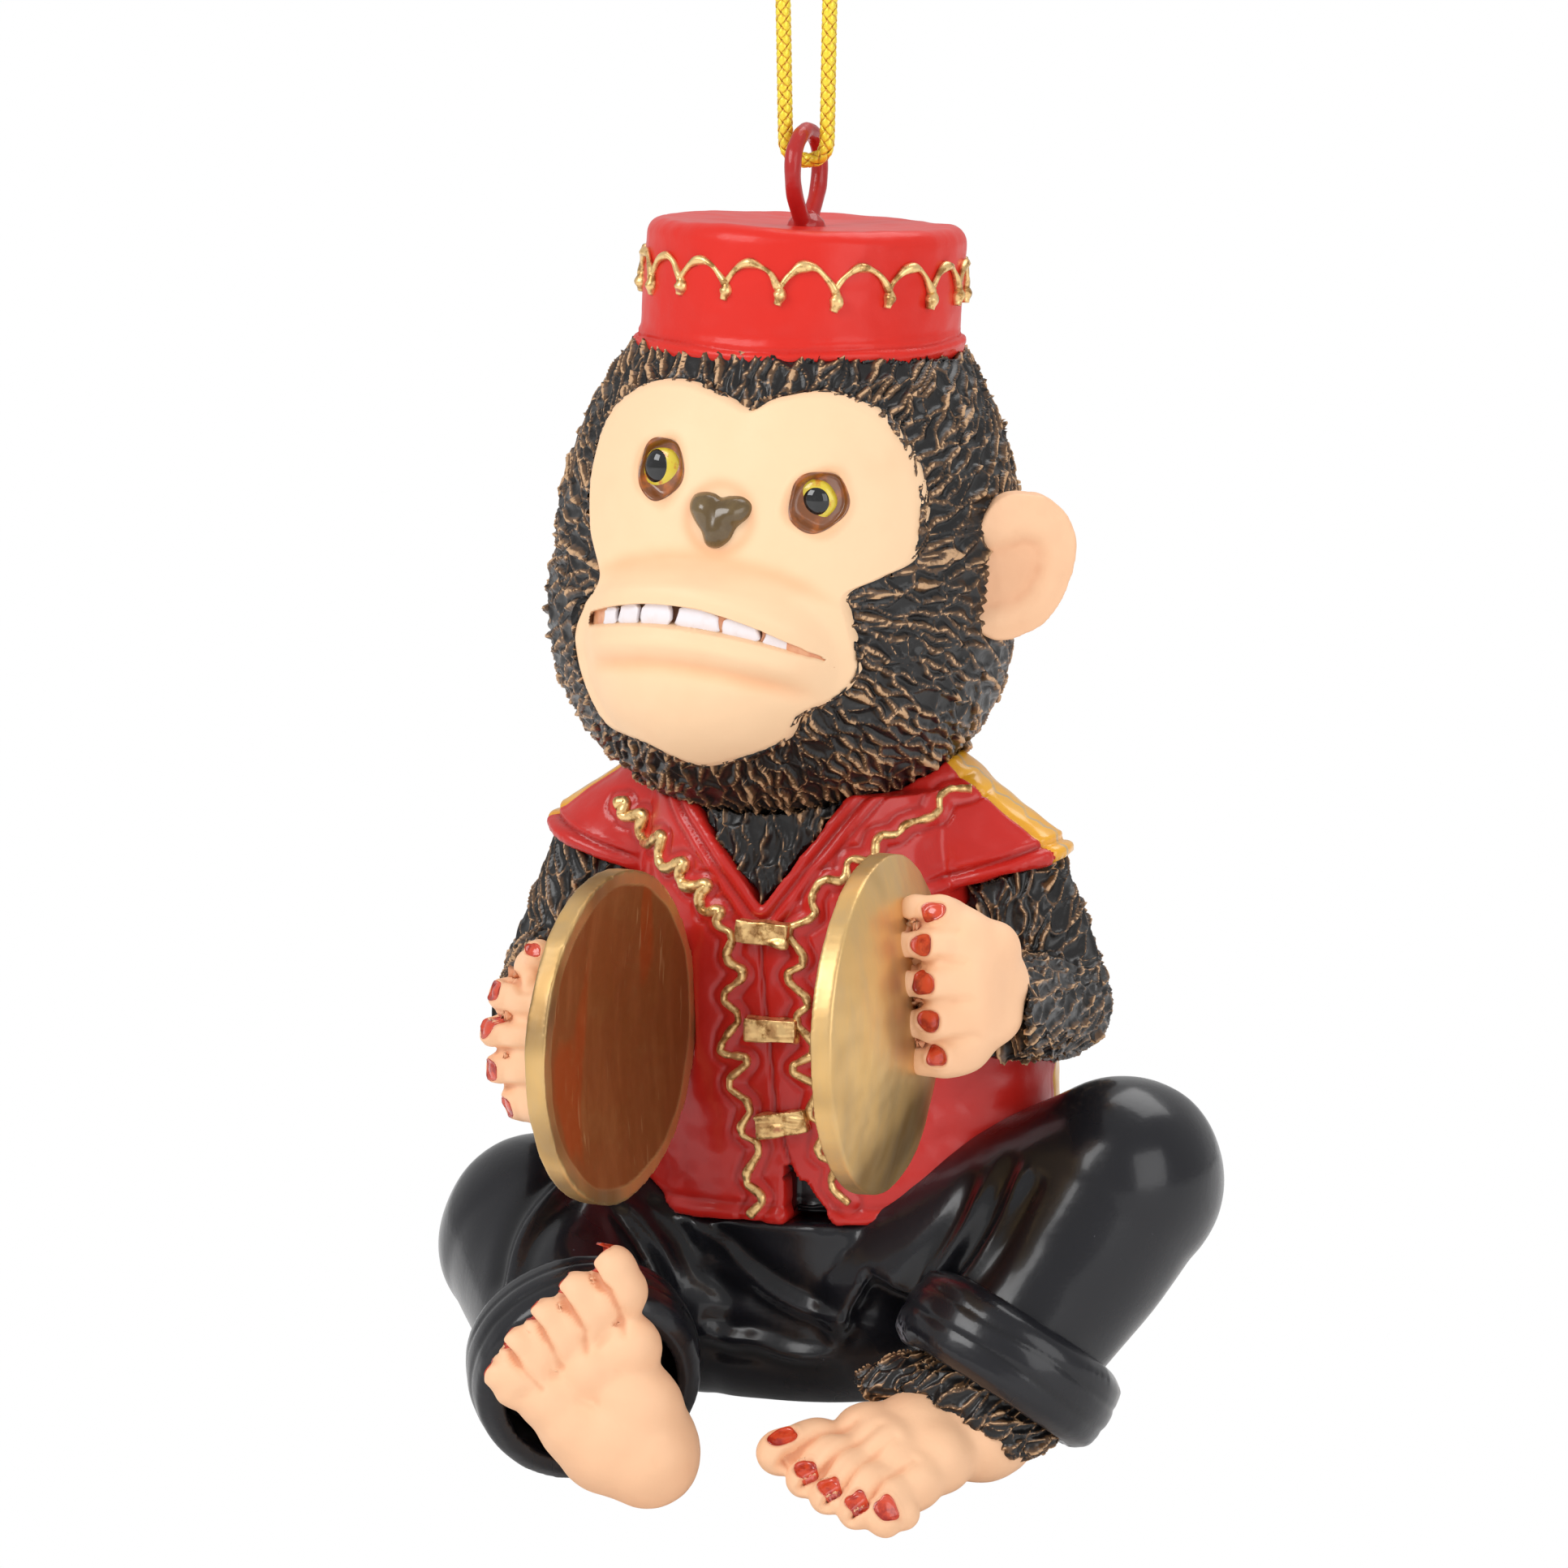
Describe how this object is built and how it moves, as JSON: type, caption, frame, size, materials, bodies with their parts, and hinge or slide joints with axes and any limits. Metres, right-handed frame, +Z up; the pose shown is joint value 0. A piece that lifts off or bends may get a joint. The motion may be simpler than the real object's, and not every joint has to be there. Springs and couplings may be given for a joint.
{
  "type": "hanging figurine",
  "caption": "Hanging ornament: a seated cast-resin monkey in a pillbox hat and vest, a cymbal in each hand, screw eye and gold cord loop.",
  "frame": {"origin": "top of the cord loop, where it is hung, under its knot", "axes": "+Z up, away from the figure; the figure faces -Y and its own left hand is towards +X"},
  "size_m": [0.0622, 0.0524, 0.1655],
  "materials": {
    "red_paint": "hand-painted red, satin to gloss, over cast resin (hat)",
    "vest_red": "hand-painted deep red, satin, over cast resin",
    "vest_yellow": "hand-painted golden yellow, satin, over cast resin",
    "fur_brown": "near-black brown with tan dry-brushed ridges, over cast resin",
    "face_cream": "hand-painted cream flesh, satin",
    "skin_flesh": "hand-painted flesh, satin",
    "trouser_black": "hand-painted black, high gloss",
    "gold_paint": "gold paint over cast resin",
    "cymbal_gold": "gold paint outside and on the rim, brown wash inside",
    "eye_brown": "painted brown",
    "iris_yellow": "painted yellow, glossy",
    "pupil_black": "painted black, glossy",
    "nose_brown": "painted olive brown, glossy",
    "gum_pink": "painted pink",
    "tooth_white": "painted white",
    "nail_red": "painted orange red, glossy",
    "eye_screw_red": "steel screw eye overpainted red",
    "cord_gold": "braided metallic gold cord"
  },
  "bodies": {
    "hanger": {"hanging_cord": "cord_gold", "cord_knot": "cord_gold"},
    "monkey": {"bottom_toggle": "gold_paint", "face": "face_cream", "gums": "gum_pink", "hat": "red_paint", "hat_braid": "gold_paint", "head": "fur_brown", "left_ankle_fur": "fur_brown", "left_arm": "fur_brown", "left_cuff": "trouser_black", "left_cymbal": "cymbal_gold", "left_ear": "skin_flesh", "left_eye_socket": "eye_brown", "left_fingernails": "nail_red", "left_foot": "skin_flesh", "left_hand": "skin_flesh", "left_iris": "iris_yellow", "left_pupil": "pupil_black", "left_toenails": "nail_red", "left_trouser_leg": "trouser_black", "left_vest_braid": "gold_paint", "middle_toggle": "gold_paint", "neck_fur": "fur_brown", "nose": "nose_brown", "right_ankle_fur": "fur_brown", "right_arm": "fur_brown", "right_cuff": "trouser_black", "right_cymbal": "cymbal_gold", "right_ear": "skin_flesh", "right_eye_socket": "eye_brown", "right_fingernails": "nail_red", "right_foot": "skin_flesh", "right_hand": "skin_flesh", "right_iris": "iris_yellow", "right_pupil": "pupil_black", "right_toenails": "nail_red", "right_trouser_leg": "trouser_black", "right_vest_braid": "gold_paint", "screw_eye": "eye_screw_red", "teeth": "tooth_white", "top_toggle": "gold_paint", "trousers_seat": "trouser_black", "vest_back": "vest_yellow", "vest_front": "vest_red"}
  },
  "joints": [
    {"name": "swing", "type": "hinge", "parent": "hanger", "child": "monkey", "pos_m": [0, 0, -0.06], "axis": [0, 1, 0], "range_deg": [-45, 45]}
  ]
}
